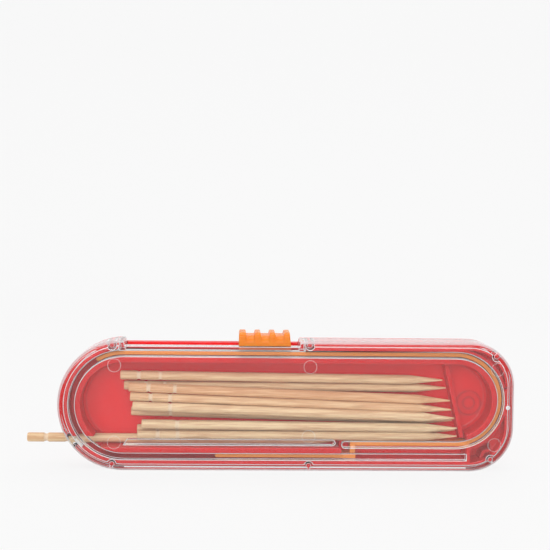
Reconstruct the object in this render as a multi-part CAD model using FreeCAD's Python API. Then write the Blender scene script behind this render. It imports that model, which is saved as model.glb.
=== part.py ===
import FreeCAD, Part
import math
import os

os.makedirs("parts", exist_ok=True)

# A flat pocket dispenser for toothpicks. A thumb slide on the long edge pulls a flexible band round a guide
# groove, and the bar at the band's end pushes the lowest toothpick out of the rounded end.
#
# Frame: X runs along the case with the rounded end at -X, Z is up from the straight edge that the case stands
# on, and Y is depth with the clear cover at -Y and the red tray at +Y. The origin is the middle of that edge.
# Places along the case are given from its rounded end, and the function `at` turns them into the frame.

# ---- driving dimensions, in millimetres ----
case_length = 91.0
case_width = 26.0
case_thickness = 8.0
corner_radius = 8.8  # at the square end; the other end is a half circle
edge_radius = 0.8  # rounding of the cover's outer edge
panel_slope = 0.7  # slope round the red panel's outer edge

panel = 1.2  # thickness of the tray's panel and of the cover's plate
rim = 1.1  # thickness of the cover's rim
rim_gap = 0.1  # between the rim and the tray's walls

lane_inset = 2.7  # from the case's edge to the middle of the band's groove
lane = 1.3  # width of that groove
ridge = 1.2  # width of the cover's ridge that stands in it
ridge_height = 1.8
wall = 1.15  # thickness of the tray's wall between groove and compartment
wall_play = 0.05  # between the tray's walls and the cover's plate
turn_wall = 0.65  # thickness of the wall outside the turn at the square end
lip = 0.5  # thickness of the low wall along the rim in the square end's open corners
foot_slope = 0.6  # along the foot of the compartment's walls
turn_centre = 79.4  # the band turns round this place at the square end
pick_lane = 5.18  # height of the band's lane behind the pusher
outer_lane_end = 81.7
inner_lane_end = 56.6
recess_start = 82.5  # the lower corner beyond the outer lane is left open

band = 0.8  # thickness of the flexible band
band_play = 0.15  # room for its edges, in depth
tail_angle = 31.5  # the band ends this far past the top of the left arc
tail_piece = 18.0  # and this much of it is the stiff tail
tail_round = 0.3

notch_start = 13.3  # the thumb slide's notch in the upper edge
notch_end = 47.9
notch_slant = 0.25  # lean of the notch's ends over its depth
notch_depth = 1.15
tray_notch_start = 12.5
tray_notch_depth = 0.9
slot_front = -0.9  # the slide's neck passes the edge between these depths
slot_back = 1.8

pad_start = 35.85
pad_length = 10.35
pad_height = 2.7
pad_depth = 7.0
pad_lean = 0.3
pad_play = 0.1  # above the notch's floor
pad_ridges = 4
outer_ridge = 1.45
inner_ridge = 1.3
ridge_slant = 0.15
ridge_round = 0.25
pad_round = 1.0  # of the long upper edges, on the ridges
valley_depth = 0.65
valley_round = 1.4  # of the same edges in the valleys
neck_play = 0.12

bar_start = 58.4  # the pusher's cross-bar
bar_width = 1.1
bar_top = 5.58
strip_start = 31.25  # its guide strip
strip_root = 0.9
strip_thin = 0.7
strip_taper = 4.0
strip_round = 0.33  # of its free end

pick_length = 65.0
pick_diameter = 1.85
pick_taper = 5.5  # length of its point
pick_point = 0.14  # radius at the tip
pick_height = 5.56  # of the toothpick in the pick channel
pick_play = 0.02
channel_floor = 4.5
divider_start = 13.2
divider_end = 55.2
divider_height = 5.58
divider_width = 1.0
divider_slant = 0.6  # lean of its end towards the exit
exit_width = 2.3

stop_top = (77.3, 21.3)  # the slanted rib that the tips rest against
stop_bottom = (80.7, 6.3)
stop_width = 0.9
stop_height = 3.4

peg_radius = 0.5
peg_gap = 0.02
peg_boss = 0.9  # radius of the cover's post that holds it
peg_seat = 1.8  # radius of the tray's raised seat round a corner peg
peg_seat_height = 3.4
corner_rise = 3.0  # of the floor in the square end's open corners
recess_end = 87.0  # the lower one has a deep recess beside its peg's seat
recess_top = 5.2
peg_inset = 0.9
peg_length = 4.6
peg_hole_depth = 4.8
end_peg_angle = 100.8  # of the rounded end's two pegs, from +X
middle_peg = 50.0
upper_peg_angle = 48.0  # in the square end's corners
lower_peg_angle = -56.0

beyond = 1.0  # a cutting shape reaches this far past the body
bite = 0.5  # and this far into the next opening
long_edge = 1.0  # an edge that crosses a piece is longer than this

# ---- worked out from them ----
front = -case_thickness / 2
back = case_thickness / 2
cover_inside = front + panel
tray_floor = back - panel
ridge_foot = cover_inside + ridge_height
band_front = ridge_foot + band_play
band_back = tray_floor - band_play
lane_top = case_width - lane_inset
left_centre = (case_width / 2, case_width / 2)
left_lane_radius = lane_top - left_centre[1]
turn_radius = (lane_top - pick_lane) / 2
turn = (turn_centre, pick_lane + turn_radius)
room_top = lane_top - lane / 2 - wall
pad_low = case_width - notch_depth + pad_play
pad_end = pad_start + pad_length


# ---- drawing helpers ----
def at(x, z, y=0.0):
    """The point this far from the rounded end, at this height and depth."""
    return FreeCAD.Vector(x - case_length / 2, y, z)


def line(start, end):
    return Part.makeLine(at(*start), at(*end))


def around(centre, radius, angle):
    """The place this far from a centre. The angle is in degrees from +X towards +Z."""
    turned = math.radians(angle)
    return (centre[0] + radius * math.cos(turned), centre[1] + radius * math.sin(turned))


def arc(centre, radius, start, end):
    """An arc in the plane of the case, between two angles."""
    places = [around(centre, radius, angle) for angle in (start, (start + end) / 2, end)]
    return Part.Arc(*[at(*place) for place in places]).toShape()


def slab(wire, near, far):
    """The solid with this outline between two depths."""
    face = Part.Face(wire)
    face.translate(FreeCAD.Vector(0, near, 0))
    return face.extrude(FreeCAD.Vector(0, far - near, 0))


def polygon(points):
    return Part.makePolygon([at(*point) for point in [*points, points[0]]])


def box(left, right, low, high, near, far):
    return slab(polygon([(left, low), (right, low), (right, high), (left, high)]), near, far)


def stud(centre, radius, near, far):
    """A round post that stands across the case."""
    return Part.makeCylinder(radius, far - near, at(centre[0], centre[1], near), FreeCAD.Vector(0, 1, 0))


def ribbon(edges, width):
    """The outline of a strip of this width along an open path, with round ends."""
    return Part.Wire(edges).makeOffset2D(width / 2)


def outline(inset):
    """The case's outline, this far inside its edge."""
    low = inset
    high = case_width - inset
    right = case_length - inset
    corner_x = case_length - corner_radius
    top_corner = case_width - corner_radius
    small = corner_radius - inset
    big = case_width / 2 - inset
    return Part.Wire([
        line((left_centre[0], low), (corner_x, low)),
        arc((corner_x, corner_radius), small, -90, 0),
        line((right, corner_radius), (right, top_corner)),
        arc((corner_x, top_corner), small, 0, 90),
        line((corner_x, high), (left_centre[0], high)),
        arc(left_centre, big, 90, 270),
    ])


def notch(start, depth):
    """The cut that the thumb slide travels in, with slanted ends."""
    floor = case_width - depth
    above = case_width + beyond
    lean = notch_slant * (above - floor) / depth
    corners = [
        (start, floor),
        (notch_end, floor),
        (notch_end + lean, above),
        (start - lean, above),
    ]
    return slab(polygon(corners), front - beyond, back + beyond)


def edges_at(body, depth):
    """The edges of a body that lie in the plane at this depth."""
    return [e for e in body.Edges if abs(e.BoundBox.YMin - depth) < 0.01 and e.BoundBox.YLength < 0.01]


def edges_above(body, height):
    """The edges of a body that lie at this height, its top."""
    return [e for e in body.Edges if e.BoundBox.ZMin > height - 0.01]


def edges_across(body, place):
    """The edges that cross a piece of the slide in depth, on the left of this place."""
    return [e for e in body.Edges if e.BoundBox.YLength > long_edge and e.BoundBox.XMax < at(*place).x]


def cover_block():
    """The cover before it is hollowed, with its outer edge rounded."""
    body = slab(outline(0), front, tray_floor)
    return body.makeFillet(edge_radius, edges_at(body, front))


# ---- the band's route, shared by the tray's groove, the cover's ridge and the band ----
def lane_edges():
    """From the pusher's outer lane, round the left end, along the top, round the turn and back inside."""
    outer = case_width - lane_top
    return [
        line((outer_lane_end - lane / 2, outer), (left_centre[0], outer)),
        arc(left_centre, left_lane_radius, 270, 90),
        line((left_centre[0], lane_top), (turn[0], lane_top)),
        arc(turn, turn_radius, 90, -90),
        line((turn[0], pick_lane), (inner_lane_end + lane / 2, pick_lane)),
    ]


def band_arc(start, end):
    """A stretch of the band in the left arc, between two angles past the top."""
    outside = left_lane_radius + band / 2
    inside = left_lane_radius - band / 2
    outer_arc = arc(left_centre, outside, 90 + start, 90 + end)
    inner_arc = arc(left_centre, inside, 90 + end, 90 + start)
    first = Part.makeLine(inner_arc.Vertexes[-1].Point, outer_arc.Vertexes[0].Point)
    last = Part.makeLine(outer_arc.Vertexes[-1].Point, inner_arc.Vertexes[0].Point)
    return slab(Part.Wire([outer_arc, last, inner_arc, first]), band_front, band_back)


# ---- pegs, on the tray's edge and in the cover's rim ----
def corner_pegs():
    radius = corner_radius - peg_inset
    corner_x = case_length - corner_radius
    return [
        around((corner_x, case_width - corner_radius), radius, upper_peg_angle),
        around((corner_x, corner_radius), radius, lower_peg_angle),
    ]


def peg_centres():
    radius = case_width / 2 - peg_inset
    return [
        around(left_centre, radius, end_peg_angle),
        around(left_centre, radius, -end_peg_angle),
        (middle_peg, case_width - peg_inset),
        (middle_peg, peg_inset),
        *corner_pegs(),
    ]


# ---- red tray ----
def compartment():
    """The room for the toothpicks. A slope runs along the foot of its walls."""
    radius = room_top - left_centre[1]
    small = room_top - turn[1]
    foot = math.degrees(math.acos((outer_lane_end - turn[0]) / small))
    foot_height = turn[1] - small * math.sin(math.radians(foot))
    room = Part.Wire([
        arc(left_centre, radius, 90, 270),
        line((left_centre[0], channel_floor), (outer_lane_end, channel_floor)),
        line((outer_lane_end, channel_floor), (outer_lane_end, foot_height)),
        arc(turn, small, -foot, 90),
        line((turn[0], room_top), (left_centre[0], room_top)),
    ])
    body = slab(room, cover_inside - beyond, tray_floor)
    return body.makeChamfer(foot_slope, edges_at(body, tray_floor))


def stop_rib():
    """The slanted rib behind the tips, square to the floor."""
    lean = stop_width
    corners = [
        stop_top,
        (stop_top[0] + lean, stop_top[1]),
        (stop_bottom[0] + lean, stop_bottom[1]),
        stop_bottom,
    ]
    return slab(polygon(corners), tray_floor - stop_height, tray_floor)


def red_tray():
    wall_front = cover_inside + wall_play
    block = slab(outline(rim + rim_gap), wall_front, tray_floor)
    # the wall outside the turn is as round as the turn, so the corners stay open
    round_wall = stud(turn, turn_radius + lane / 2 + turn_wall, wall_front, tray_floor)
    corner_floor = tray_floor - corner_rise
    top_corner = box(turn[0], case_length, turn[1], case_width, wall_front, corner_floor)
    low_corner = box(recess_start, case_length, 0, turn[1], wall_front, corner_floor)
    recess = box(recess_start, recess_end, 0, recess_top, wall_front, tray_floor)
    low_rim = slab(outline(rim + rim_gap + lip), wall_front, tray_floor)
    for corner in (top_corner, low_corner, recess):
        block = block.cut(corner.cut(round_wall).common(low_rim))
    for centre in corner_pegs():
        seat = stud(centre, peg_seat, tray_floor - peg_seat_height, tray_floor)
        block = block.fuse(seat.common(low_rim))
    # the cover's own edge fills the strip above the groove along the notch
    block = block.cut(box(notch_start - rim - rim_gap, notch_end + rim + rim_gap,
                          lane_top + lane / 2, case_width, wall_front, tray_floor))
    block = block.cut(compartment())
    block = block.cut(slab(ribbon(lane_edges(), lane), wall_front, tray_floor))
    # the bar travels between the two lanes, and the wall beside its way ends round
    low_lane = case_width - lane_top
    wall_middle = (low_lane + lane / 2 + channel_floor) / 2
    wall_half = (channel_floor - low_lane - lane / 2) / 2
    block = block.cut(box(inner_lane_end - wall_half, outer_lane_end, low_lane - lane / 2,
                          channel_floor + bite, wall_front, tray_floor))
    block = block.fuse(stud((inner_lane_end - wall_half, wall_middle), wall_half, wall_front, tray_floor))
    # the way out for a toothpick
    block = block.cut(box(0, left_centre[0], channel_floor, pick_height + exit_width / 2,
                          wall_front, tray_floor))
    for centre in peg_centres():
        block = block.cut(stud(centre, peg_boss + rim_gap, wall_front, tray_floor))
    plate = slab(outline(0), tray_floor, back)
    plate = plate.makeChamfer(panel_slope, edges_at(plate, back))
    body = plate.cut(notch(tray_notch_start, tray_notch_depth)).fuse(block)
    # the slot's far side, along the notch
    body = body.fuse(box(notch_start + rim_gap, notch_end - rim_gap, lane_top + lane / 2,
                         case_width - tray_notch_depth, slot_back, tray_floor))
    body = body.fuse(stop_rib().common(compartment()))
    for centre in peg_centres():
        body = body.fuse(stud(centre, peg_radius, tray_floor - peg_length, tray_floor))
    return body.removeSplitter()


# ---- clear cover ----
def divider():
    """The ridge over the pick channel. It leaves room for one toothpick behind it."""
    half = divider_width / 2
    low_left = (divider_start, divider_height - half)
    high_left = (divider_start + divider_slant, divider_height + half)
    right = (divider_end - half, divider_height)
    shape = Part.Wire([
        line(low_left, (right[0], low_left[1])),
        arc(right, half, -90, 90),
        line((right[0], high_left[1]), high_left),
        line(high_left, low_left),
    ])
    return slab(shape, cover_inside, ridge_foot)


def clear_cover():
    body = cover_block()
    inside = slab(outline(rim), cover_inside, tray_floor)
    edge_wall = box(notch_start - rim, notch_end + rim, lane_top + lane / 2, case_width,
                    cover_inside, tray_floor)
    body = body.cut(inside.cut(edge_wall))
    body = body.cut(notch(notch_start, notch_depth))
    # behind the neck's slot the notch belongs to the tray
    body = body.cut(box(notch_start, notch_end, lane_top, case_width, slot_front, tray_floor))
    body = body.fuse(slab(ribbon(lane_edges(), ridge), cover_inside, ridge_foot))
    # the ridge ends square at the end of the outer lane
    low_lane = case_width - lane_top
    square_end = outer_lane_end - (lane - ridge) / 2
    body = body.fuse(box(square_end - ridge, square_end, low_lane - ridge / 2, low_lane + ridge / 2,
                         cover_inside, ridge_foot))
    body = body.fuse(divider())
    for centre in peg_centres():
        body = body.fuse(stud(centre, peg_boss, cover_inside, tray_floor))
    body = body.common(cover_block())
    for centre in peg_centres():
        body = body.cut(stud(centre, peg_radius + peg_gap, tray_floor - peg_hole_depth, tray_floor))
    # an arch in the rim lets the toothpick out
    arch = exit_width / 2
    sill = tray_floor - pick_diameter / 2 - pick_play
    way = Part.makeCylinder(arch, left_centre[0], at(0, pick_height, sill), FreeCAD.Vector(1, 0, 0))
    way = way.fuse(box(0, left_centre[0], pick_height - arch, pick_height + arch, sill, tray_floor))
    return body.cut(way).removeSplitter()


# ---- orange slide: pad, band, tail and pusher are one flexible moulding ----
def pad_block(top, rounding):
    """The pad up to this height. One end leans in, and its two long upper edges are rounded."""
    lean = pad_lean * (top - pad_low) / pad_height
    corners = [(pad_start, pad_low), (pad_end, pad_low), (pad_end - lean, top), (pad_start, top)]
    body = slab(polygon(corners), -pad_depth / 2, pad_depth / 2)
    long_edges = [e for e in edges_above(body, top) if e.BoundBox.XLength > long_edge]
    return body.makeFillet(rounding, long_edges)


def thumb_ridge(left, right):
    """A bar across the pad with slanted sides above the valleys and a rounded crest."""
    top = pad_low + pad_height
    valley = top - valley_depth
    corners = [
        (left, pad_low),
        (right, pad_low),
        (right, valley),
        (right - ridge_slant, top),
        (left + ridge_slant, top),
        (left, valley),
    ]
    body = slab(polygon(corners), -pad_depth / 2, pad_depth / 2)
    crest = [e for e in edges_above(body, top) if e.BoundBox.YLength > long_edge]
    return body.makeFillet(ridge_round, crest)


def thumb_slider():
    top = pad_low + pad_height
    limit = pad_block(top, pad_round)
    pad = pad_block(top - valley_depth, valley_round)
    widths = [outer_ridge] + [inner_ridge] * (pad_ridges - 2) + [outer_ridge]
    valley_width = (pad_length - sum(widths)) / (pad_ridges - 1)
    left = pad_start
    for width in widths:
        pad = pad.fuse(thumb_ridge(left, left + width).common(limit))
        left += width + valley_width
    # it clears the tray's edge, which stands a little above the cover's
    tray_edge = case_width - tray_notch_depth + pad_play
    pad = pad.cut(box(pad_start, pad_end, pad_low, tray_edge, slot_back - neck_play, back))
    neck = box(pad_start, pad_end, lane_top + band / 2, pad_low + pad_play,
               slot_front + neck_play, slot_back - neck_play)
    return pad.fuse(neck).removeSplitter()


def feed_band():
    """The band in the groove, from its tail to the pusher."""
    half = band / 2
    straight = box(left_centre[0], turn[0], lane_top - half, lane_top + half, band_front, band_back)
    outer = stud(turn, turn_radius + half, band_front, band_back)
    inner = stud(turn, turn_radius - half, band_front, band_back)
    right_half = box(turn[0], case_length, 0, case_width, band_front, band_back)
    bend = outer.cut(inner).common(right_half)
    run_in = box(bar_start + bar_width, turn[0], pick_lane - half, pick_lane + half,
                 band_front, band_back)
    start = band_arc(0, tail_angle - tail_piece)
    return start.fuse([straight, bend, run_in]).removeSplitter()


def band_tail():
    """The stiff end of the band. At home it stands across the toothpick's way out."""
    body = band_arc(tail_angle - tail_piece, tail_angle)
    middle = around(left_centre, left_lane_radius, 90 + tail_angle - tail_piece / 2)
    return body.makeFillet(tail_round, edges_across(body, middle))


def pusher():
    """The bar behind the toothpick and the strip that guides it in the outer lane."""
    low_lane = case_width - lane_top
    low = low_lane - strip_root / 2
    bar_end = bar_start + bar_width
    outline_points = [
        (strip_start, low_lane - strip_thin / 2),
        (bar_start - strip_taper, low_lane - strip_thin / 2),
        (bar_start, low),
        (bar_end, low),
        (bar_end, bar_top),
        (bar_start, bar_top),
        (bar_start, low_lane + strip_root / 2),
        (bar_start - strip_taper, low_lane + strip_thin / 2),
        (strip_start, low_lane + strip_thin / 2),
    ]
    body = slab(polygon(outline_points), band_front, band_back)
    return body.makeFillet(strip_round, edges_across(body, (strip_start + strip_taper, low_lane)))


# ---- toothpicks ----
def toothpick(length, blunt, tip_height, depth):
    """A round bamboo pick, pointed at one end, laid from its blunt end to its tip."""
    radius = pick_diameter / 2
    profile = [
        (0, 0),
        (0, radius),
        (length - pick_taper, radius),
        (length, pick_point),
        (length, 0),
    ]
    points = [FreeCAD.Vector(x, 0, r) for x, r in [*profile, profile[0]]]
    half_section = Part.Face(Part.makePolygon(points))
    body = half_section.revolve(FreeCAD.Vector(), FreeCAD.Vector(1, 0, 0), 360)
    rise = math.degrees(math.asin((tip_height - blunt[1]) / length))
    body.rotate(FreeCAD.Vector(), FreeCAD.Vector(0, 1, 0), -rise)
    body.translate(at(blunt[0], blunt[1], depth))
    return body


def stop_at(height):
    """How far along the case the stop rib stands at this height."""
    share = (height - stop_bottom[1]) / (stop_top[1] - stop_bottom[1])
    return stop_bottom[0] + share * (stop_top[0] - stop_bottom[0])


def stored_toothpicks():
    """Loose picks, tips at the stop rib: length, gap to the rib, blunt end's height, tip's height and depth."""
    deep = tray_floor - pick_diameter / 2 - pick_play
    resting = [
        (64.9, 0.98, 18.57, 17.9, 0.5),
        (65.3, 0.37, 16.33, 16.11, deep),
        (64.8, 0.32, 16.38, 13.8, -0.02),
        (64.8, 0.42, 14.43, 11.93, 0.05),
        (64.7, 0.3, 12.53, 10.39, -1.0),
        (65.2, 0.5, 11.09, 9.47, deep),
        (63.5, 0.21, 8.86, 8.28, -0.6),
        (64.6, 0.35, 7.45, 7.5, deep),
        (64.5, 0.5, 6.54, 6.54, 0.0),
    ]
    picks = []
    for length, gap, blunt_height, tip_height, depth in resting:
        blunt_x = stop_at(tip_height) - gap - length
        picks.append(toothpick(length, (blunt_x, blunt_height), tip_height, depth))
    return picks


nodes = {
    "red_tray": red_tray(),
    "clear_cover": clear_cover(),
    "thumb_slider": thumb_slider(),
    "feed_band": feed_band(),
    "band_tail": band_tail(),
    "pusher": pusher(),
    "dispensed_toothpick": toothpick(
        pick_length,
        (bar_start - pick_play - pick_length, pick_height),
        pick_height,
        tray_floor - pick_diameter / 2 - pick_play,
    ),
}
for number, pick in enumerate(stored_toothpicks(), start=1):
    nodes[f"toothpick_{number}"] = pick

for name, shape in nodes.items():
    print(name, shape.ShapeType, len(shape.Solids), shape.isValid(), round(shape.Volume, 2))
    shape.exportStep(f"parts/{name}.step")
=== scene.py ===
import math

import bmesh
import bpy
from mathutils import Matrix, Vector


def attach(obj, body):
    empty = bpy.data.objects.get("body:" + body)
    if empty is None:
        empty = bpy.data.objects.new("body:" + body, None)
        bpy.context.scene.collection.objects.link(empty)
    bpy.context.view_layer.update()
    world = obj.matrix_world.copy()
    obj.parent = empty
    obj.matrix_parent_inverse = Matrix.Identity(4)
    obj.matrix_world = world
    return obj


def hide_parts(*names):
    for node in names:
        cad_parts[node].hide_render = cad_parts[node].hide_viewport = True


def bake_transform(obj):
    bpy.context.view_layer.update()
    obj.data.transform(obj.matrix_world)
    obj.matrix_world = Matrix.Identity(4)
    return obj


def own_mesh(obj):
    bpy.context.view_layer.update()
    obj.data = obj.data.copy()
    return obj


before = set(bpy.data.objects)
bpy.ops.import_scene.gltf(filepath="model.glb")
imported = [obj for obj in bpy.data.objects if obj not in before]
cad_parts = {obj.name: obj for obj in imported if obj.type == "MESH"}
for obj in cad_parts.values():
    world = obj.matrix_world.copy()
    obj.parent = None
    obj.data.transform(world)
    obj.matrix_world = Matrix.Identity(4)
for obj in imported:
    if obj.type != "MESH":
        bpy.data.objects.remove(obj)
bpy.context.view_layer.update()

mm = 0.001


# ---- Red tray ----
# One injection moulding of opaque red plastic: the flat panel with the walls of the toothpicks' room and of the
# band's groove standing on it. The mould's outside is spark-eroded, so the panel has a fine grain, and the inside
# is satin. Six pegs on its edge hold the cover.
def place(x, z, y):
    """A point this far from the case's rounded end, at this height and depth, in millimetres."""
    return Vector(((x - 45.5) * mm, y * mm, z * mm))


def moulded_copy(node, rounding, finishes, shift=None, share=None):
    """A copy of a CAD node with every sharp edge broken by a small round, as a mould leaves it. The second of its
    finishes is for the rounds."""
    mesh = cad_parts[node].data.copy()
    mesh.materials.clear()
    for finish in finishes:
        mesh.materials.append(finish.material)
    work = bmesh.new()
    work.from_mesh(mesh)
    bmesh.ops.remove_doubles(work, verts=work.verts, dist=0.001 * mm)
    if shift:
        for vert in work.verts:
            shift(vert)
    usual_share = 0.6
    sharp_from = math.radians(32)  # what is flatter is a facet of a curve
    weight = work.edges.layers.float.new("bevel_weight_edge")
    for edge in work.edges:
        if edge.is_manifold and edge.calc_face_angle() > sharp_from:
            edge[weight] = share(edge) if share else usual_share
    work.to_mesh(mesh)
    work.free()
    mesh.shade_smooth()
    rough = bpy.data.objects.new(node + "_rough", mesh)
    bpy.context.collection.objects.link(rough)
    bevel = rough.modifiers.new("edges", "BEVEL")
    bevel.width = rounding
    bevel.segments = 2
    bevel.limit_method = "WEIGHT"
    bevel.use_clamp_overlap = False
    bevel.loop_slide = False
    bevel.material = 1 if len(finishes) > 1 else 0
    flat = rough.modifiers.new("flat_faces", "WEIGHTED_NORMAL")
    flat.weight = 90
    flat.keep_sharp = True
    finished = bpy.data.meshes.new_from_object(rough.evaluated_get(bpy.context.evaluated_depsgraph_get()))
    bpy.data.objects.remove(rough)
    piece = bpy.data.objects.new(node + "_moulding", finished)
    bpy.context.collection.objects.link(piece)
    return piece


class Finish:
    """A material under construction: its shader, and short ways to add the nodes that drive it."""

    def __init__(self, name, roughness, **sockets):
        self.material = bpy.data.materials.new(name)
        self.material.use_nodes = True
        self.tree = self.material.node_tree
        self.shader = self.tree.nodes["Principled BSDF"]
        self.output = self.tree.nodes["Material Output"]
        self.shader.inputs["Roughness"].default_value = roughness
        for key, value in sockets.items():
            self.shader.inputs[key.replace("_", " ")].default_value = value
        self.place = self.node("ShaderNodeTexCoord").outputs["Object"]

    def node(self, kind, **settings):
        made = self.tree.nodes.new(kind)
        for key, value in settings.items():
            setattr(made, key, value)
        return made

    def put(self, value, socket):
        if isinstance(value, bpy.types.NodeSocket):
            self.tree.links.new(value, socket)
        else:
            socket.default_value = value

    def noise(self, scale, stretch=(1, 1, 1), detail=3, roughness=0.5):
        """Noise whose features are about this many to the metre, after stretching."""
        mapping = self.node("ShaderNodeMapping")
        self.put(self.place, mapping.inputs["Vector"])
        mapping.inputs["Scale"].default_value = [scale * share for share in stretch]
        texture = self.node("ShaderNodeTexNoise")
        self.put(mapping.outputs["Vector"], texture.inputs["Vector"])
        texture.inputs["Scale"].default_value = 1
        texture.inputs["Detail"].default_value = detail
        texture.inputs["Roughness"].default_value = roughness
        return texture.outputs["Fac"]

    def ramp(self, value, low, high, start=0.0, end=1.0):
        """The value carried from one range to another, and held at its ends."""
        made = self.node("ShaderNodeMapRange")
        self.put(value, made.inputs["Value"])
        for socket, number in (("From Min", low), ("From Max", high), ("To Min", start), ("To Max", end)):
            made.inputs[socket].default_value = number
        return made.outputs["Result"]

    def math(self, operation, first, second):
        made = self.node("ShaderNodeMath", operation=operation)
        self.put(first, made.inputs[0])
        self.put(second, made.inputs[1])
        return made.outputs[0]

    def mix(self, share, first, second):
        """Two colours mixed by a share."""
        made = self.node("ShaderNodeMix", data_type="RGBA")
        self.put(share, made.inputs[0])
        self.put(first, made.inputs[6])
        self.put(second, made.inputs[7])
        return made.outputs[2]

    def colour(self, value):
        self.put(value, self.shader.inputs["Base Color"])

    def bump(self, height, distance, strength=1.0):
        made = self.node("ShaderNodeBump")
        made.inputs["Distance"].default_value = distance
        self.put(strength, made.inputs["Strength"])
        self.put(height, made.inputs["Height"])
        self.put(made.outputs["Normal"], self.shader.inputs["Normal"])

    def along(self, axis):
        """A point's place along one axis of the frame."""
        parts = self.node("ShaderNodeSeparateXYZ")
        self.put(self.place, parts.inputs[0])
        return parts.outputs[axis]


red_glow = {"Subsurface_Weight": 1.0, "Subsurface_Radius": (1.6, 0.12, 0.12), "Subsurface_Scale": 1 * mm}
red = Finish("red_plastic", 0.35, Specular_IOR_Level=0.25, **red_glow)
outside = red.ramp(red.along("Y"), 2.85 * mm, 2.95 * mm)  # 1 on the panel, 0 on what stands inside it
patches = red.noise(90, detail=2)
# Painted shade: the inside is painted a darker, deeper red than the outside, and the tops of the walls darker than the
# floor. This offsets the haze of the cover, and the light that falls more on the wall tops than into the deep room.
painted_shade_depth = red.ramp(red.along("Y"), -2.7 * mm, 2.7 * mm)  # 0 at the tops of the walls, 1 on the floor
wall_top_painted_shade = red.mix(patches, (0.76, 0.008, 0.012, 1), (0.72, 0.006, 0.010, 1))
floor = red.mix(patches, (0.88, 0.012, 0.018, 1), (0.84, 0.010, 0.015, 1))
inside_red_painted_shade = red.mix(painted_shade_depth, wall_top_painted_shade, floor)
outside_red = red.mix(patches, (0.96, 0.038, 0.056, 1), (0.92, 0.032, 0.048, 1))
red.colour(red.mix(outside, inside_red_painted_shade, outside_red))
grain = red.noise(4200, detail=4, roughness=0.65)
red.put(red.ramp(outside, 0, 1, 0.34, 0.5), red.shader.inputs["Roughness"])
red.bump(grain, 0.03 * mm, red.ramp(outside, 0, 1, 0.12, 0.6))

# Painted highlight: the rounds on the tray's edges are painted a paler red than the plastic, for the light that they
# catch.
red_edge_highlight = Finish("red_plastic_edge_highlight", 0.22, **red_glow)
red_edge_highlight.colour(red_edge_highlight.mix(red_edge_highlight.noise(700), (0.78, 0.06, 0.07, 1), (0.70, 0.03, 0.04, 1)))
red_edge_highlight.bump(red_edge_highlight.noise(3000), 0.01 * mm, 0.3)

case_round = 0.16 * mm
tray = moulded_copy("red_tray", case_round, [red, red_edge_highlight])
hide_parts("red_tray")
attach(tray, "case")


# ---- Mould rings in the tray ----
# The tray's floor carries the ring of an insert in its mould, and inside that the ring of an ejector sleeve.
# Both are part of the moulding and stand a few hundredths of a millimetre proud.
def new_tree(name, inputs):
    """An empty Geometry Nodes tree with these named inputs, and its first and last nodes."""
    tree = bpy.data.node_groups.new(name, "GeometryNodeTree")
    tree.interface.new_socket("Geometry", in_out="INPUT", socket_type="NodeSocketGeometry")
    kinds = {float: "NodeSocketFloat", Vector: "NodeSocketVector", bpy.types.Material: "NodeSocketMaterial"}
    for label, kind in inputs.items():
        tree.interface.new_socket(label, in_out="INPUT", socket_type=kinds[kind])
    tree.interface.new_socket("Geometry", in_out="OUTPUT", socket_type="NodeSocketGeometry")
    return tree, tree.nodes.new("NodeGroupInput"), tree.nodes.new("NodeGroupOutput")


def wire(tree, kind, settings=None, **inputs):
    """A node with these settings, its sockets linked or set. A socket is given by its name."""
    node = tree.nodes.new(kind)
    for key, value in (settings or {}).items():
        setattr(node, key, value)
    for key, value in inputs.items():
        label = key.replace("_", " ")
        socket = node.inputs[int(label[1:])] if label[0] == "n" and label[1:].isdigit() else node.inputs[label]
        if isinstance(value, bpy.types.NodeSocket):
            tree.links.new(value, socket)
        else:
            socket.default_value = value
    return node


def finish_tree(tree, geometry, material, last):
    realized = wire(tree, "GeometryNodeRealizeInstances", Geometry=geometry)
    dressed = wire(tree, "GeometryNodeSetMaterial", Geometry=realized.outputs[0], Material=material)
    tree.links.new(dressed.outputs[0], last.inputs[0])


def grown(name, tree, points, edges, values, sharp=40):
    """The plain mesh that a tree makes from these points and edges, as a piece of its own."""
    seed = bpy.data.meshes.new(name + "_seed")
    seed.from_pydata(points, edges, [])
    holder = bpy.data.objects.new(name + "_seed", seed)
    bpy.context.collection.objects.link(holder)
    modifier = holder.modifiers.new("nodes", "NODES")
    modifier.node_group = tree
    for item in tree.interface.items_tree:
        if item.in_out == "INPUT" and item.name in values:
            modifier[item.identifier] = values[item.name]
    mesh = bpy.data.meshes.new_from_object(holder.evaluated_get(bpy.context.evaluated_depsgraph_get()))
    bpy.data.objects.remove(holder)
    work = bmesh.new()
    work.from_mesh(mesh)
    bmesh.ops.recalc_face_normals(work, faces=work.faces)
    work.to_mesh(mesh)
    work.free()
    mesh.shade_smooth()
    mesh.set_sharp_from_angle(angle=math.radians(sharp))
    piece = bpy.data.objects.new(name, mesh)
    bpy.context.collection.objects.link(piece)
    return piece


ring_tree, first, last = new_tree("mould_rings", {
    "Ring radius": float, "Bead width": float, "Bead height": float, "Material": bpy.types.Material})
circle = wire(ring_tree, "GeometryNodeCurvePrimitiveCircle", Resolution=64, Radius=first.outputs["Ring radius"])
bead = wire(ring_tree, "GeometryNodeCurvePrimitiveCircle", Resolution=8, Radius=0.5)
bead_size = wire(ring_tree, "ShaderNodeCombineXYZ", X=first.outputs["Bead width"],
                 Y=first.outputs["Bead height"], Z=1.0)
bead = wire(ring_tree, "GeometryNodeTransform", Geometry=bead.outputs[0], Scale=bead_size.outputs[0])
ring = wire(ring_tree, "GeometryNodeCurveToMesh", Curve=circle.outputs[0], Profile_Curve=bead.outputs[0])
rings = wire(ring_tree, "GeometryNodeInstanceOnPoints", Points=first.outputs[0], Instance=ring.outputs[0],
             Rotation=(math.radians(90), 0, 0))
finish_tree(ring_tree, rings.outputs[0], first.outputs["Material"], last)

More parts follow.
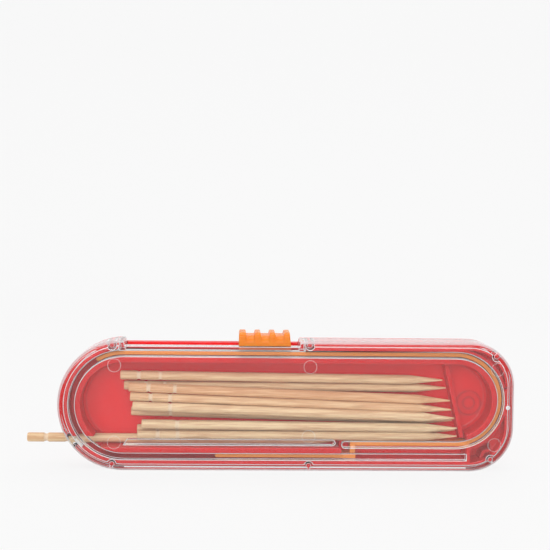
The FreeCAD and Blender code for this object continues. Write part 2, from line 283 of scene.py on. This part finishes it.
insert_centre = place(83.0, 12.9, 2.77)
# The rings are drawn in the tray's paler edge red, a painted highlight.
for ring_name, ring_radius in (("tray_mould_ring_outer", 2.46), ("tray_mould_ring_inner", 1.2)):
    tray_ring = grown(ring_name, ring_tree, [insert_centre], [], {
        "Ring radius": ring_radius * mm, "Bead width": 0.2 * mm, "Bead height": 0.12 * mm,
        "Material": red_edge_highlight.material})
    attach(tray_ring, "case")


# ---- Thumb pad ----
# The part of the orange slide that stands out of the case's upper edge. It is one moulding of a tough, slightly
# soft plastic with the band, and four ridges across its top give the thumb its grip.
orange = Finish("orange_plastic", 0.33, Specular_IOR_Level=0.45, Subsurface_Radius=(1.2, 0.5, 0.1),
                Subsurface_Scale=1 * mm)
cloudy = orange.noise(260, detail=2)
pad_orange = orange.mix(cloudy, (1.0, 0.285, 0.012, 1), (0.96, 0.25, 0.010, 1))
above_cover = orange.ramp(orange.along("Z"), 24.8 * mm, 24.95 * mm)  # 0 on the neck, 1 on the pad
# Painted light: the neck is the same plastic as the pad, but it is painted a redder, brighter orange to make up for
# the shade under the pad.
orange.colour(orange.mix(above_cover, (1.0, 0.17, 0.02, 1), pad_orange))
orange.put(orange.ramp(above_cover, 0, 1, 0, 0.4), orange.shader.inputs["Subsurface Weight"])
orange.put(orange.ramp(orange.noise(1500), 0.3, 0.7, 0.28, 0.4), orange.shader.inputs["Roughness"])
orange.bump(orange.noise(2400, detail=4), 0.02 * mm, 0.25)

# Painted light: the band, its tail and the pusher are the same plastic as the pad, painted a lighter, yellower orange
# to make up for the shade inside the case.
inner_orange_lightened = Finish("orange_plastic_inside_lightened", 0.4, Specular_IOR_Level=0.3)
inner_orange_lightened.colour(inner_orange_lightened.mix(inner_orange_lightened.noise(260, detail=2), (1.0, 0.33, 0.055, 1), (0.97, 0.29, 0.045, 1)))
inner_orange_lightened.bump(inner_orange_lightened.noise(2400, detail=4), 0.02 * mm, 0.25)

slide_round = 0.1 * mm
pad = moulded_copy("thumb_slider", slide_round, [orange])
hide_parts("thumb_slider")
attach(pad, "slider")


# ---- Flexible band ----
# A ribbon 0.8 mm thick that lies on edge in the guide groove. It runs from the pad along the upper edge, round
# the turn at the square end and back to the pusher, and its free start bends round the left arc.
band_tree, first, last = new_tree("band_ribbon", {
    "Thickness": float, "Depth": float, "Edge round": float, "Material": bpy.types.Material})
path = wire(band_tree, "GeometryNodeMeshToCurve", Mesh=first.outputs[0])
section = wire(band_tree, "GeometryNodeCurvePrimitiveQuadrilateral", Width=first.outputs["Depth"],
               Height=first.outputs["Thickness"])
section = wire(band_tree, "GeometryNodeFilletCurve", {"mode": "POLY"}, Curve=section.outputs[0], Count=3,
               Radius=first.outputs["Edge round"])
ribbon = wire(band_tree, "GeometryNodeCurveToMesh", Curve=path.outputs[0], Profile_Curve=section.outputs[0],
              Fill_Caps=True)
finish_tree(band_tree, ribbon.outputs[0], first.outputs["Material"], last)

band_thickness = 0.8
band_depth = 3.5
band_round = 0.08
band_middle = 0.9  # halfway through the band's depth
lane_top = 23.3
lane_low = 5.18
arc_centre = (13.0, 13.0)
arc_radius = 10.3
turn_centre = (79.4, 14.24)
turn_radius = 9.06


def around(centre, radius, angle):
    """A point of the band's route on one of its arcs. The angle is in degrees from +X towards +Z."""
    turned = math.radians(angle)
    return place(centre[0] + radius * math.cos(turned), centre[1] + radius * math.sin(turned), band_middle)


def band_piece(name, points, body, thickness=band_thickness, depth=band_depth):
    """A stretch of the band along these points, which rides the body if one is named."""
    piece = grown(name, band_tree, points, [(i, i + 1) for i in range(len(points) - 1)], {
        "Thickness": thickness * mm, "Depth": depth * mm, "Edge round": band_round * mm,
        "Material": inner_orange_lightened.material})
    if body:
        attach(piece, body)
    return piece


def steps(start, end, count):
    """The ends of this many equal steps from start to end, both included."""
    return [start + (end - start) * i / count for i in range(count + 1)]


joint_angle = -88.1  # the fixed turn ends here, where the moving run laps it
route = [place(x, lane_top, band_middle) for x in steps(arc_centre[0], turn_centre[0], 24)]
route += [around(turn_centre, turn_radius, angle) for angle in steps(90, joint_angle, 48)[1:]]
fixed_band = band_piece("band_fixed_run", route, "case")

start_sweep = 13.5  # how far round the left arc the bending start reaches, in degrees
start_arc = [around(arc_centre, arc_radius, 90 + angle) for angle in steps(0, start_sweep, 60)]
bending = band_piece("band_bending_start", start_arc, None)
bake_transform(bending)

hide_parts("feed_band")

tail = moulded_copy("band_tail", slide_round, [inner_orange_lightened])
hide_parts("band_tail")
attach(tail, "tail")


# ---- Pusher ----
# The band's other end: a cross-bar behind the lowest toothpick, and a thin guide strip in the outer lane. The run
# of band behind it shortens as it draws back into the turn.
pusher = moulded_copy("pusher", slide_round, [inner_orange_lightened])
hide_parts("pusher")
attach(pusher, "pusher")

bar_back = 59.5
run_end = 82.5  # it laps the fixed turn, so that no gap opens when the slide goes past its rest
run = [place(x, lane_low, band_middle) for x in steps(bar_back, run_end, 24)]
run_thickness = 0.76  # a little slimmer than the turn that it laps
run_depth = 3.42
moving_run = band_piece("band_moving_run", run, "pusher", thickness=run_thickness, depth=run_depth)
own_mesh(moving_run)


# ---- Toothpicks ----
# Standard round bamboo picks, 65 mm long and turned on a machine that leaves two rings near the blunt end. Nine
# lie loose in the room with their tips at the slanted rib, and one lies in the pick channel.
bamboo = Finish("bamboo", 0.6, Specular_IOR_Level=0.3)
fibres = bamboo.noise(2600, stretch=(0.05, 1, 1), detail=5, roughness=0.6)
flecks = bamboo.noise(900, stretch=(0.12, 1, 1), detail=3)
tint = bamboo.node("ShaderNodeAttribute", attribute_name="tint").outputs["Fac"]
light_wood = bamboo.mix(tint, (0.96, 0.74, 0.46, 1), (0.97, 0.59, 0.33, 1))
dark_wood = bamboo.mix(tint, (0.78, 0.50, 0.29, 1), (0.80, 0.40, 0.20, 1))
wood = bamboo.mix(bamboo.ramp(fibres, 0.4, 0.6), dark_wood, light_wood)
wood = bamboo.mix(bamboo.ramp(flecks, 0.62, 0.75, 0, 0.5), wood, (0.50, 0.28, 0.12, 1))
turned_place = bamboo.node("ShaderNodeAttribute", attribute_name="turned").outputs["Fac"]
bamboo.colour(bamboo.mix(bamboo.ramp(turned_place, 0.01 * mm, 0.08 * mm, 0, 0.7), wood, (0.97, 0.78, 0.58, 1)))
bamboo.bump(fibres, 0.05 * mm, 0.5)

pick_tree, first, last = new_tree("turned_pick", {
    "Blunt end": Vector, "Tip": Vector, "Radius": float, "Tip radius": float, "Taper": float,
    "First ring": float, "First depth": float, "Second ring": float, "Second depth": float,
    "Ring width": float, "Chamfer": float, "Tint": float, "Material": bpy.types.Material})


def node_math(tree, operation, one, two):
    """Two numbers joined by an operation."""
    return wire(tree, "ShaderNodeMath", {"operation": operation}, n0=one, n1=two).outputs[0]


def node_range(tree, value, low, high, start, end):
    """A number carried from one range to another, and held at its ends."""
    return wire(tree, "ShaderNodeMapRange", n0=value, n1=low, n2=high, n3=start, n4=end).outputs[0]


axis = wire(pick_tree, "GeometryNodeCurvePrimitiveLine", Start=first.outputs["Blunt end"],
            End=first.outputs["Tip"])
axis = wire(pick_tree, "GeometryNodeResampleCurve", Curve=axis.outputs[0], Count=340)
spline = wire(pick_tree, "GeometryNodeSplineParameter")
whole = wire(pick_tree, "GeometryNodeSplineLength").outputs["Length"]
along = spline.outputs["Length"]
radius = first.outputs["Radius"]
from_tip = node_math(pick_tree, "SUBTRACT", whole, along)
tapered = node_range(pick_tree, from_tip, 0.0, first.outputs["Taper"], first.outputs["Tip radius"], radius)
blunt = node_range(pick_tree, along, 0.0, first.outputs["Chamfer"],
                   node_math(pick_tree, "SUBTRACT", radius, first.outputs["Chamfer"]), radius)
thickness = node_math(pick_tree, "MINIMUM", tapered, blunt)
turned = 0.0  # how deep the rings are cut, which shows as a paler band
for ring_name, depth_name in (("First ring", "First depth"), ("Second ring", "Second depth")):
    away = node_math(pick_tree, "ABSOLUTE", node_math(
        pick_tree, "SUBTRACT", along, first.outputs[ring_name]), 0.0)
    cut = node_range(pick_tree, away, 0.0, first.outputs["Ring width"], first.outputs[depth_name], 0.0)
    thickness = node_math(pick_tree, "SUBTRACT", thickness, cut)
    turned = node_math(pick_tree, "ADD", turned, cut)
outline = wire(pick_tree, "GeometryNodeCurvePrimitiveCircle", Resolution=20, Radius=1.0)
marked = wire(pick_tree, "GeometryNodeStoreNamedAttribute", {"data_type": "FLOAT", "domain": "POINT"},
              Geometry=axis.outputs[0], Name="turned", Value=turned)
body = wire(pick_tree, "GeometryNodeCurveToMesh", Curve=marked.outputs[0], Profile_Curve=outline.outputs[0],
            Scale=thickness, Fill_Caps=True)
named = wire(pick_tree, "GeometryNodeStoreNamedAttribute", {"data_type": "FLOAT", "domain": "POINT"},
             Geometry=body.outputs[0], Name="tint", Value=first.outputs["Tint"])
finish_tree(pick_tree, named.outputs[0], first.outputs["Material"], last)


pick_radius = 0.925 * mm
tip_radius = 0.14 * mm
taper = 6.6 * mm
ring_width = 0.5 * mm
chamfer = 0.12 * mm


def turned_pick(node, blunt_end, tip, body_name, rings, tint_value):
    """One pick between two points, with the places and depths of its rings."""
    piece = grown(node + "_turned", pick_tree, [(0, 0, 0)], [], {
        "Blunt end": blunt_end, "Tip": tip, "Radius": pick_radius, "Tip radius": tip_radius, "Taper": taper,
        "First ring": rings[0] * mm, "First depth": rings[1] * mm,
        "Second ring": rings[2] * mm, "Second depth": rings[3] * mm,
        "Ring width": ring_width, "Chamfer": chamfer, "Tint": tint_value, "Material": bamboo.material})
    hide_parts(node)
    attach(piece, body_name)


def cad_axis(node):
    """The middle of a pick's blunt end and of its tip, from its CAD mesh."""
    verts = [vert.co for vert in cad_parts[node].data.vertices]
    ends = []
    for wanted in (min(vert.x for vert in verts), max(vert.x for vert in verts)):
        near = [vert for vert in verts if abs(vert.x - wanted) < 0.06 * mm]
        ends.append(Vector((wanted, (min(v.y for v in near) + max(v.y for v in near)) / 2,
                            (min(v.z for v in near) + max(v.z for v in near)) / 2)))
    return ends


# For each pick, the place and depth of its first and of its second ring in millimetres, and its tint.
pick_finish = {
    "dispensed_toothpick": ((3.8, 0.24, 8.0, 0.12), 0.15),
    "toothpick_1": ((3.7, 0.2, 8.0, 0.1), 0.45),
    "toothpick_2": ((4.4, 0.14, 8.2, 0.1), 0.45),
    "toothpick_3": ((4.0, 0.2, 9.3, 0.14), 0.95),
    "toothpick_4": ((4.1, 0.2, 8.0, 0.16), 0.6),
    "toothpick_5": ((7.5, 0.18, 9.0, 0.0), 0.2),
    "toothpick_6": ((4.2, 0.0, 8.0, 0.12), 0.5),
    "toothpick_7": ((7.1, 0.16, 9.0, 0.0), 0.1),
    "toothpick_8": ((4.1, 0.2, 8.0, 0.1), 0.3),
    "toothpick_9": ((4.1, 0.2, 8.1, 0.16), 0.15),
}
for node, (rings, tint_value) in pick_finish.items():
    blunt_end, tip = cad_axis(node)
    turned_pick(node, blunt_end, tip, "pick" if node.startswith("dispensed") else "case", rings, tint_value)


# ---- Clear cover ----
# One moulding of clear plastic: the flat plate, the rim round the tray, the ridge that keeps the band in its
# groove, the divider over the pick channel and six posts with holes for the tray's pegs.
def glassy(name, roughness, **sockets):
    """Clear plastic. Light that falls through it on what is inside goes straight on, and a ray that has passed
    through many walls ends in pale grey."""
    finish = Finish(name, roughness, **sockets)
    rays = finish.node("ShaderNodeLightPath")
    spent = finish.node("ShaderNodeMixShader")
    most_walls = 5.5
    finish.put(finish.math("GREATER_THAN", rays.outputs["Ray Depth"], most_walls), spent.inputs[0])
    finish.put(finish.shader.outputs[0], spent.inputs[1])
    finish.put(finish.node("ShaderNodeBsdfDiffuse").outputs[0], spent.inputs[2])
    both = finish.node("ShaderNodeMixShader")
    finish.put(rays.outputs["Is Shadow Ray"], both.inputs[0])
    finish.put(spent.outputs[0], both.inputs[1])
    finish.put(finish.node("ShaderNodeBsdfTransparent").outputs[0], both.inputs[2])
    finish.put(both.outputs[0], finish.output.inputs["Surface"])
    return finish


clear = glassy("clear_plastic", 0.02, Transmission_Weight=1.0, IOR=1.5)
clear.colour(clear.mix(clear.noise(150), (1, 1, 1, 1), (0.97, 0.985, 0.99, 1)))
clear.bump(clear.noise(60, detail=1), 0.02 * mm, 0.3)
# Painted highlight: the rounds of the cover, its ejector rings and its gate mark are a matt white that neither
# reflects nor lets light through. It stands in for the light that clear rounds catch. On the gate mark the white is
# also the rough spot itself.
clear_highlight_and_frost = glassy("clear_plastic_highlight_and_frost", 0.5, Specular_IOR_Level=0.0, IOR=1.0)
clear_highlight_and_frost.colour(clear_highlight_and_frost.mix(clear_highlight_and_frost.noise(600), (1, 1, 1, 1), (0.93, 0.94, 0.96, 1)))
# Partly painted light: the outer round of the cover is hazed by wear. The share of it that lets no light through is
# painted a pale white for the light that the round catches.
worn_and_lit_round = glassy("clear_plastic_worn_and_lit", 0.3, Transmission_Weight=0.55, IOR=1.5)
worn_and_lit_round.colour(worn_and_lit_round.mix(worn_and_lit_round.noise(900, detail=4), (1, 1, 1, 1), (0.93, 0.94, 0.97, 1)))


def seam(vert):
    """The end of the rim stands a hair clear of the tray's panel."""
    if vert.co.y > 2.79 * mm:
        vert.co.y = 2.76 * mm


plate_inside = -2.8
ridge_top = -1.0


def edge_share(edge):
    """How much of the full round an edge has. The foot of what stands on the plate has the widest."""
    for level, share in ((plate_inside, 0.85), (ridge_top, 0.4)):
        if all(abs(vert.co.y - level * mm) < 0.01 * mm for vert in edge.verts):
            return share
    return 0.5


cover = moulded_copy("clear_cover", case_round, [clear, clear_highlight_and_frost, worn_and_lit_round], shift=seam, share=edge_share)
round_from = -3.1 * mm  # the outer round lies in front of this
for face in cover.data.polygons:
    if face.center.y < round_from and 0.2 < abs(face.normal.y) < 0.93 and face.material_index == 0:
        face.material_index = 2  # the outer round, hazed by wear and painted paler for the light it catches
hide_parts("clear_cover")
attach(cover, "case")


# ---- Ejector marks on the cover ----
# The pins that push the cover out of its mould leave six faint rings on the inside of its plate. They belong to
# the clear moulding and stand a few hundredths of a millimetre proud.
marks = [(11.2, 20.9), (11.2, 5.5), (50.1, 20.8), (49.9, 6.8), (87.7, 20.5), (87.3, 5.3)]
# The rings are drawn in the matt white of the painted highlight.
cover_rings = grown("cover_ejector_rings", ring_tree, [place(x, z, -2.77) for x, z in marks], [], {
    "Ring radius": 1.3 * mm, "Bead width": 0.05 * mm, "Bead height": 0.03 * mm, "Material": clear_highlight_and_frost.material})
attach(cover_rings, "case")


# ---- Gate mark on the cover ----
# Where the clear plastic ran into the mould, the middle of the square end keeps a small rough spot. It is part of
# the cover's moulding and stands a few hundredths of a millimetre proud.
# The spot is drawn in the same matt white, partly its roughness and partly a painted highlight.
gate = grown("cover_gate_mark", ring_tree, [place(89.9, 12.84, -2.78)], [], {
    "Ring radius": 0.22 * mm, "Bead width": 0.42 * mm, "Bead height": 0.04 * mm, "Material": clear_highlight_and_frost.material})
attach(gate, "case")


# ---- Studio ----
# A white paper sweep under and behind the case, an even white surround, and three soft lamps for the highlights.
# None of it belongs to the object.
backdrop_mesh = bpy.data.meshes.new("backdrop")
work = bmesh.new()
profile = [(-0.6, 0), (0.35, 0)]
for step in range(1, 13):
    turn = math.radians(90 * step / 12)
    profile.append((0.35 + 0.15 * math.sin(turn), 0.15 - 0.15 * math.cos(turn)))
profile.append((0.5, 0.7))
rows = [[work.verts.new((x, y, z)) for y, z in profile] for x in (-0.8, 0.8)]
for i in range(len(profile) - 1):
    work.faces.new((rows[0][i], rows[1][i], rows[1][i + 1], rows[0][i + 1]))
work.to_mesh(backdrop_mesh)
work.free()
backdrop_mesh.shade_smooth()
backdrop = bpy.data.objects.new("backdrop", backdrop_mesh)
bpy.context.collection.objects.link(backdrop)

paper = Finish("paper", 0.9, Base_Color=(0.7, 0.7, 0.7, 1))
glow = paper.node("ShaderNodeEmission")
glow.inputs["Color"].default_value = (1, 1, 1, 1)
rays = paper.node("ShaderNodeLightPath")
behind = paper.ramp(paper.along("Y"), -40 * mm, 20 * mm, 0.0, 1.0)
mirrored = paper.math("MULTIPLY", rays.outputs["Is Glossy Ray"], behind)
seen = paper.math("MAXIMUM", rays.outputs["Is Camera Ray"], mirrored)
seen = paper.math("MAXIMUM", seen, rays.outputs["Is Transmission Ray"])
both = paper.node("ShaderNodeMixShader")
paper.put(paper.math("MULTIPLY", seen, 0.84), both.inputs[0])
paper.put(paper.shader.outputs[0], both.inputs[1])
paper.put(glow.outputs[0], both.inputs[2])
paper.put(both.outputs[0], paper.output.inputs["Surface"])
backdrop_mesh.materials.append(paper.material)

world = bpy.data.worlds.new("studio")
bpy.context.scene.world = world
world.use_nodes = True
surround = world.node_tree.nodes["Background"]
surround.inputs["Color"].default_value = (1, 1, 1, 1)
surround.inputs["Strength"].default_value = 0.7
seen_surround = world.node_tree.nodes.new("ShaderNodeBackground")
seen_surround.inputs["Color"].default_value = (1, 1, 1, 1)
seen_surround.inputs["Strength"].default_value = 0.94
choice = world.node_tree.nodes.new("ShaderNodeMixShader")
world_rays = world.node_tree.nodes.new("ShaderNodeLightPath")
for start, end in ((world_rays.outputs["Is Camera Ray"], choice.inputs[0]), (surround.outputs[0], choice.inputs[1]),
                   (seen_surround.outputs[0], choice.inputs[2]),
                   (choice.outputs[0], world.node_tree.nodes["World Output"].inputs["Surface"])):
    world.node_tree.links.new(start, end)


def softbox(name, energy, size, location, target):
    light = bpy.data.lights.new(name, "AREA")
    light.energy = energy
    light.shape = "RECTANGLE"
    light.size, light.size_y = size
    lamp = bpy.data.objects.new(name, light)
    lamp.location = location
    lamp.rotation_euler = (Vector(target) - Vector(location)).to_track_quat("-Z", "Y").to_euler()
    bpy.context.collection.objects.link(lamp)


softbox("front_softbox", 1.9, (0.8, 0.4), (-0.15, -0.8, 0.24), (0, 0, 0.01))
softbox("back_softbox", 0.9, (0.8, 0.3), (0.2, 0.3, 0.55), (0, 0, 0.01))
softbox("top_softbox", 0.3, (0.14, 0.08), (-0.03, -0.08, 0.45), (0, 0, 0.01))

lens = bpy.data.cameras.new("camera")
lens.lens = 79.64
lens.sensor_width = 36
lens.clip_start = 0.01
camera = bpy.data.objects.new("camera", lens)
camera.location = (-11.36 * mm, -243.4 * mm, 53.09 * mm)
camera.rotation_euler = (math.radians(86.67), math.radians(-0.662), math.radians(-2.035))
bpy.context.collection.objects.link(camera)
bpy.context.scene.camera = camera
bpy.context.scene.view_settings.view_transform = "Standard"
